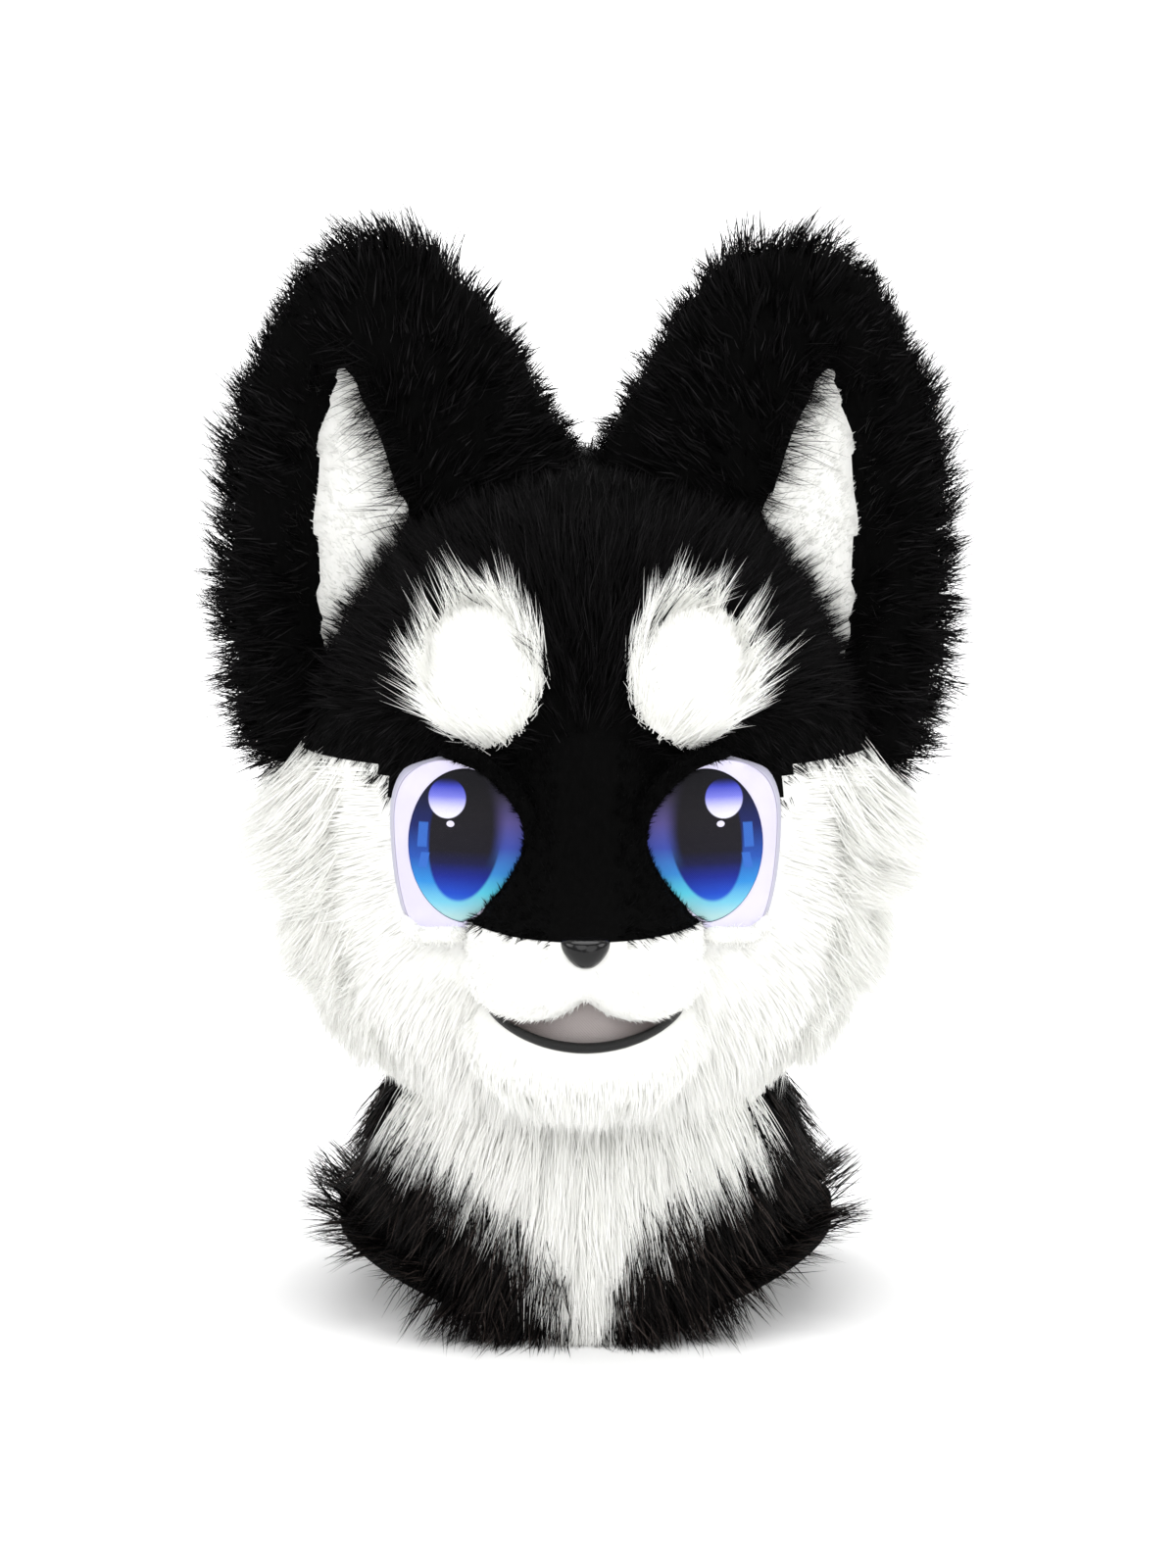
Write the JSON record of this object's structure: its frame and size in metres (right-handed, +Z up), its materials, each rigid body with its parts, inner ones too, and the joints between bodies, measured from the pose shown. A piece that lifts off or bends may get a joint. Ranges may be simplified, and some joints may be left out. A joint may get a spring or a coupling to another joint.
{
  "type": "costume animal head",
  "caption": "Full-head fur costume mask of a black and white dog with tall ears, domed blue mesh eyes, a short muzzle with an open mouth and a long-fur neck.",
  "frame": {"origin": "on the floor under the middle of the head's bounding box, where the neck hem stands", "axes": "+Z up through the crown, the face looks along -Y, +X towards the ear on the right of the picture"},
  "size_m": [0.3384, 0.318, 0.4736],
  "materials": {
    "black_fur": "long pile",
    "black_pile": "short pile",
    "white_fur": "long pile",
    "white_pile": "short pile",
    "eye_white": "satin",
    "eye_mesh": "printed mesh",
    "nose_plastic": "gloss",
    "lip_leather": "semi gloss",
    "mouth_cloth": "matte"
  },
  "bodies": {
    "root": {"hood": "black_fur", "face_fur": "white_fur", "nose_bridge": "black_pile", "muzzle": "white_pile", "nose": "nose_plastic", "lip": "lip_leather", "mouth_lining": "mouth_cloth", "eye_white_left": "eye_white", "iris_left": "eye_mesh", "eye_white_right": "eye_white", "iris_right": "eye_mesh", "ear_left": "black_fur", "ear_right": "black_fur", "ear_lining_left": "white_pile", "ear_lining_right": "white_pile", "brow_spot_left": "white_pile", "brow_spot_right": "white_pile", "neck_fur": "black_fur", "bib": "white_fur"}
  },
  "joints": []
}
